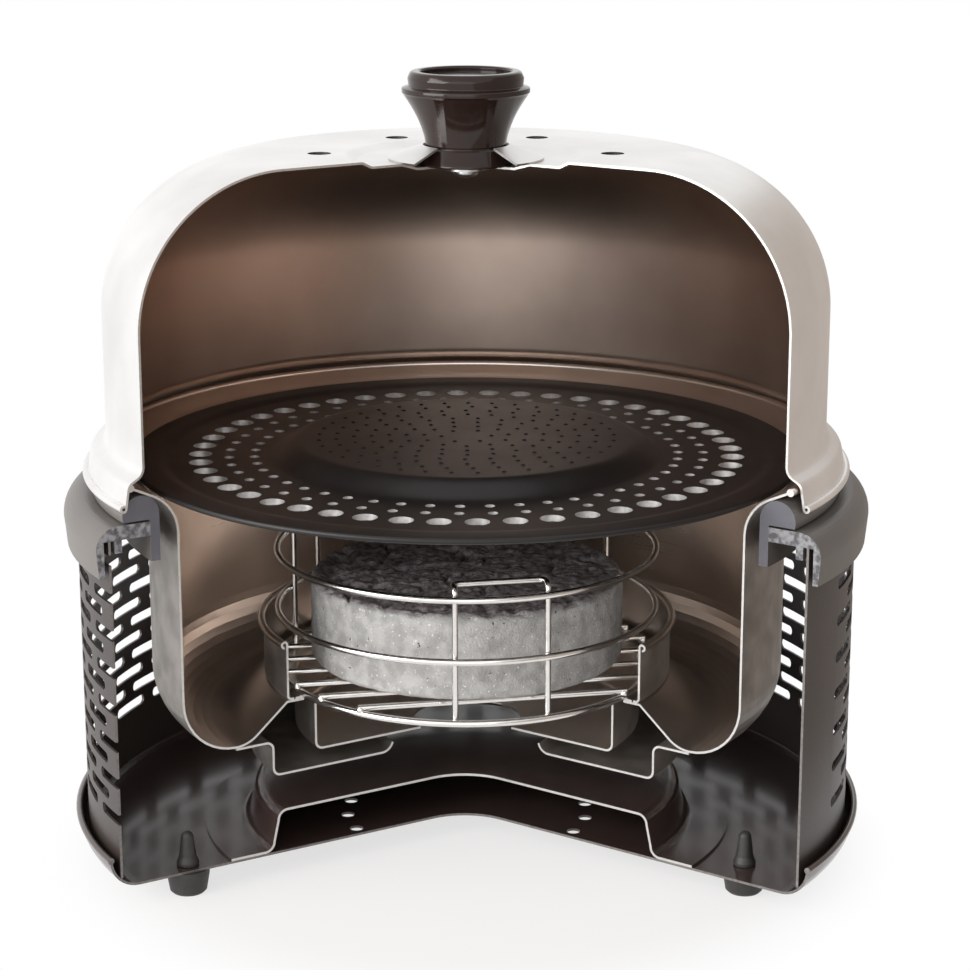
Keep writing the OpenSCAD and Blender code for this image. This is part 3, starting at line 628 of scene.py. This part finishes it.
plate_up = plate_mid + plate_rise * (1 - bank) - channel_dip * (bank - outer_bank)
plate_path = np.column_stack((plate_out, plate_up))
plate_thick = np.append(np.full(len(plate_out) - len(edge), plate_t), plate_t * np.cos(edge))
turns = hole_turn + hole_step * np.arange(hole_count)
drains = [(ring, turn + lag, radius, margin)
          for ring, lag, radius, margin in ((106.0, 0, 4.7, 6.5), (94.5, hole_step / 2, 2.0, 5.0),
                                            (84.5, hole_step / 2, 2.0, 5.0))
          for turn in turns]
plate_angles = hole_turn - hole_step / 2 + np.arange(hole_count * hole_cells) * hole_step / hole_cells

nonstick, place = finish("black non-stick coat")
scuff = grain(place, 22 * mm, 4)
orange_peel = grain(place, 0.5 * mm, 2)
coat(place, {
    "Base Color": tint(scuff, (0.007, 0.006, 0.006, 1), (0.018, 0.015, 0.014, 1)),
    "Roughness": 0.3 + 0.16 * scuff,
    "Specular IOR Level": 0.35,
    "Normal": relief(orange_peel, 0.03 * mm),
})
punched = steel("punched hole wall", (0.4, 0.39, 0.38, 1), (0.6, 0.59, 0.58, 1),
                0.4, 3 * mm, 0.01 * mm, 0.7)
piece("cooking_plate", pressed(plate_path, plate_thick, plate_angles, True, drains),
      (nonstick, nonstick, nonstick, punched), "plate", "plate_coat", "grill_plate")

pip_r = 1.4
pip_sink = 0.9
pip_gap = 10
pip_twist = 0.11
pip_rings = np.arange(10, 64, 7.0)
pip_spots = np.concatenate([
    np.column_stack((ring * np.cos(turn), ring * np.sin(turn), np.full(len(turn), plate_high[2] - pip_sink)))
    for ring in pip_rings
    for count in [round(2 * np.pi * ring / pip_gap)]
    for turn in [np.linspace(0, 2 * np.pi, count, endpoint=False) + pip_twist * ring]
])
piece("plate_pips", blobs(pip_spots, np.full(len(pip_spots), pip_r)), (nonstick,), "plate", "plate_coat")


# Dome lid
# Spun stainless steel, satin outside: a flat crown with vent holes and a recess for the knob, a round
# shoulder, and a step over the bowl's rim that ends in a rolled lip.
bead_rise = 0.3
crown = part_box("dome_lid")[1][2] / mm - bead_rise - steel_t / 2
recess_z = crown - 2
seat_z = crown - 4
lid_wall = 142.0
shoulder_w = 61.0
shoulder_h = 57.5
step_z = crown - 111.5
skirt_r = 148.1
lip_curl = 1.05
lip_mid = (150.6, crown - 120.8)
lip_start = 190.0
lip_turn = 300.0
lip_steps = 28
lip = arc(lip_mid, lip_curl, lip_start, lip_start + lip_turn, lip_steps)
vent_ring = 57.0
vent_r = 4.6
vent_pad = 6.5
lid_path = np.concatenate((
    rounded(((2.8, seat_z), (22, seat_z), (29, recess_z), (42.5, recess_z), (46.5, crown),
             (vent_ring - vent_pad, crown)), (4, 4, 2.5, 2.5)),
    np.column_stack((np.linspace(vent_ring - vent_pad, vent_ring + vent_pad, 5), np.full(5, crown)))[1:],
    np.column_stack((np.linspace(66, 78, 5), np.full(5, crown))),
    arc((lid_wall - shoulder_w, crown - shoulder_h), (shoulder_w, shoulder_h), 90, 0, 40),
    rounded(((lid_wall, crown - 60), (lid_wall, step_z + 2.9), (skirt_r, step_z - 0.6), lip[0]), (5, 3.5)),
    lip[1:],
))
vents = [(vent_ring, np.radians(turn), vent_r, vent_pad) for turn in (0, 60, 120, 180)]
lid_outside = steel("satin lid steel", (0.8, 0.785, 0.77, 1), (0.88, 0.87, 0.86, 1),
                    0.33, 40 * mm, 0.005 * mm)
# The inside of the lid is the same steel as the outside, painted darker and browner: painted shade for the
# dim inside of the dome.
lid_inside_painted_shade = steel("lid steel painted in shade", (0.49, 0.38, 0.32, 1), (0.59, 0.47, 0.4, 1),
                   0.3, 50 * mm, 0.005 * mm)
# The walls of the vent holes are near black steel: painted shade, so that the holes read as dark.
vent_wall_painted_shade = steel("vent wall painted in shade", (0.06, 0.05, 0.045, 1), (0.12, 0.1, 0.09, 1),
                  0.5, 3 * mm, 0.01 * mm)
piece("spun_lid", pressed(lid_path, steel_t, cut_angles(0.0), False, vents, lip_steps),
      (lid_outside, lid_inside_painted_shade, cut_steel, vent_wall_painted_shade), "lid", "lid_steel", "dome_lid")


# Knob
# A bright steel cone in the lid's recess and a gloss moulded knob with a disc in its top, fixed from inside
# the lid by a screw and a washer.
cone_half = np.radians(40)
cone_low, cone_high = (corner[2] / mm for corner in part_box("knob_ferrule"))
cone_in = 16.6
cone_out = 30.3
cone_path = np.array(((cone_in, cone_high - steel_t / 2), (cone_out, cone_low + steel_t / 2)))
piece("bright_cone", pressed(cone_path, steel_t, cut_angles(0.0, half=cone_half), False),
      (lid_outside, lid_outside, cut_steel), "lid", "lid_steel", "knob_ferrule")
knob_low, knob_high = (corner[2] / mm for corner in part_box("knob_body"))
neck = knob_low + 6.85
neck_r = 15.8
groove_r = 15.3
bore_r = 2.65
bore_top = knob_low + 21.5
flange_r = 24.9
cap_bore_r = 17.8
cap_floor = knob_high - 3
swell_w = 8.3
swell_h = 18.9
swell = np.linspace(0, 1, 17)
foot_path = ((0, bore_top), (bore_r, bore_top), (bore_r, knob_low), (19, knob_low), (18.6, knob_low + 1),
             (neck_r, neck - 0.6), (groove_r, neck), (groove_r, neck + 0.6), (neck_r, neck + 1))
head_path = ((24.1, knob_high - 8.5), (flange_r, knob_high - 8.2), (flange_r, knob_high - 6.4),
             (22.3, knob_high - 5.6), (22.6, knob_high - 2.6), (21.4, knob_high), (18.4, knob_high),
             (cap_bore_r, knob_high - 0.8), (cap_bore_r, cap_floor), (0, cap_floor))
knob_path = np.concatenate((
    rounded(foot_path, (0.1, 0.1, 0.6, 0.8, 0.3, 0.2, 0.2), 5),
    np.column_stack((neck_r + swell_w * swell ** 1.6, neck + 1 + swell_h * swell))[1:],
    rounded(head_path, (0.3, 0.5, 0.5, 1.6, 1.6, 0.5, 0.3, 0.1), 6)[1:],
))
gloss, place = finish("gloss moulded plastic")
swirl = grain(place, 12 * mm, 2)
coat(place, {
    "Base Color": tint(swirl, (0.015, 0.008, 0.006, 1), (0.029, 0.0165, 0.013, 1)),
    "Roughness": 0.09 + 0.06 * swirl,
    "Specular IOR Level": 0.3,
    "Coat Weight": 0.12,
    "Coat Roughness": 0.05,
    "Normal": relief(grain(place, 6 * mm, 1), 0.02 * mm),
})
grid, faces, share = turned(knob_path, 120)
piece("moulded_knob", (grid.reshape(-1, 3), faces, share), (gloss,), "lid", "knob_plastic", "knob_body")
dress("knob_cap", gloss)
fixing = steel("plated fixing steel", (0.5, 0.5, 0.5, 1), (0.66, 0.66, 0.66, 1),
               0.25, 4 * mm, 0.004 * mm)
dress("knob_screw", fixing)
dress("knob_washer", fixing)


# Studio
# A white sweep under soft light from the left, with a glowing brown card on the right that shows only in
# what
# shines: a painted reflection that darkens and warms that side. Seen through a long lens from a little
# above.
floor_mesh = bpy.data.meshes.new("floor")
wide = 9.0
floor_mesh.from_pydata([(-wide, -wide, 0), (wide, -wide, 0), (wide, wide, 0), (-wide, wide, 0)], [],
                       [(0, 1, 2, 3)])
floor = bpy.data.objects.new("floor", floor_mesh)
bpy.context.scene.collection.objects.link(floor)
sweep, place = finish("white sweep")
clear = between(from_axis(place), 0.12, 0.18)
seen = place.node("LightPath", out="Is Camera Ray") + place.node("LightPath", out="Is Glossy Ray")
paper = place.node("BsdfDiffuse", {}, {"Color": (0.9, 0.86, 0.83, 1)})
white = place.node("Emission", {}, {"Color": (1, 1, 1, 1), "Strength": 1.0})
lit = place.node("MixShader", {}, {0: seen * (0.7 + 0.3 * clear), 1: paper, 2: white})
place.node("OutputMaterial", {}, {"Surface": lit})
floor_mesh.materials.append(sweep)

flag_mesh = bpy.data.meshes.new("flag")
flag_mesh.from_pydata([(0.24, -1.0, 0.002), (0.24, 1.4, 0.002), (0.9, 1.4, 1.1), (0.9, -1.0, 1.1)], [],
                      [(0, 1, 2, 3)])
flag = bpy.data.objects.new("flag", flag_mesh)
bpy.context.scene.collection.objects.link(flag)
flag.visible_camera = False
flag.visible_diffuse = False
flag.visible_shadow = False
# The card glows a fixed brown rather than taking light from the lamps: a painted reflection of shade.
painted_reflection_card, place = finish("brown card painted into reflections")
shaded = place.node("Emission", {}, {"Color": (0.52, 0.46, 0.415, 1), "Strength": 1.0})
place.node("OutputMaterial", {}, {"Surface": shaded})
flag_mesh.materials.append(painted_reflection_card)

world = bpy.data.worlds.new("studio")
bpy.context.scene.world = world
world.use_nodes = True
world.node_tree.nodes.clear()
sky = Wire(world.node_tree)
dim = sky.node("Background", {}, {"Color": (1, 1, 1, 1), "Strength": 0.5})
bright = sky.node("Background", {}, {"Color": (1, 1, 1, 1), "Strength": 1.0})
direct = (sky.node("LightPath", out="Is Camera Ray") + sky.node("LightPath", out="Is Glossy Ray")
          + sky.node("LightPath", out="Is Transmission Ray"))
sky.node("OutputWorld", {}, {"Surface": sky.node("MixShader", {}, {0: direct, 1: dim, 2: bright})})

grill_middle = np.array((0, 0, 0.15))
for name, spot, size, power in (
    ("key", (-1.9, -1.1, 0.9), 1.8, 60),
    ("fill", (-0.4, -2.4, 1.0), 2.4, 16),
):
    lamp = bpy.data.lights.new(name, "AREA")
    lamp.size = size
    lamp.energy = power
    lamp_object = bpy.data.objects.new(name, lamp)
    lamp_object.location = spot
    aim = np.array(spot) - grill_middle
    tilt = np.arccos(aim[2] / np.linalg.norm(aim))
    lamp_object.rotation_euler = (tilt, 0, np.arctan2(aim[1], aim[0]) + np.pi / 2)
    bpy.context.scene.collection.objects.link(lamp_object)

camera_down = 14.73
camera = bpy.data.cameras.new("camera")
camera.lens = 96.94
camera.sensor_width = 36
camera_object = bpy.data.objects.new("camera", camera)
camera_object.location = (7.4 * mm, -1014.5 * mm, 416.7 * mm)
camera_object.rotation_euler = (np.radians(90 - camera_down), 0, 0)
bpy.context.scene.collection.objects.link(camera_object)
bpy.context.scene.camera = camera_object
bpy.context.scene.view_settings.view_transform = "Standard"
